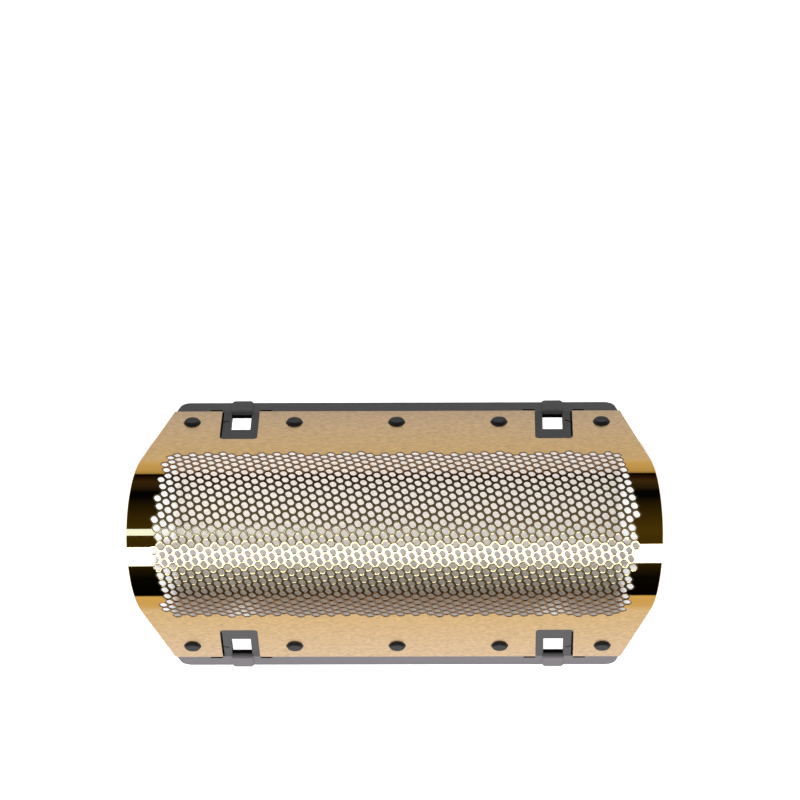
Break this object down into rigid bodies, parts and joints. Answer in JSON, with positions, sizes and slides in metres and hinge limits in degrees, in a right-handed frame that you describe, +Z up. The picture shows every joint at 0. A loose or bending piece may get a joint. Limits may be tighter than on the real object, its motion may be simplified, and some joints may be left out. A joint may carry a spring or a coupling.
{
  "type": "shaver foil head",
  "caption": "Arched perforated metal foil with two straight legs, each backed by a plastic rail with melted studs and snap-in latch windows.",
  "frame": {"origin": "centre of the outline, on the surface that the rails stand on", "axes": "+X along the foil's length, +Y across to the rear rail, +Z up to the ridge of the arch"},
  "size_m": [0.045, 0.023, 0.0133],
  "materials": {
    "gold_foil": "polished",
    "black_plastic": "satin"
  },
  "bodies": {
    "root": {"foil": "gold_foil", "rear_rail": "black_plastic", "front_rail": "black_plastic"}
  },
  "joints": []
}
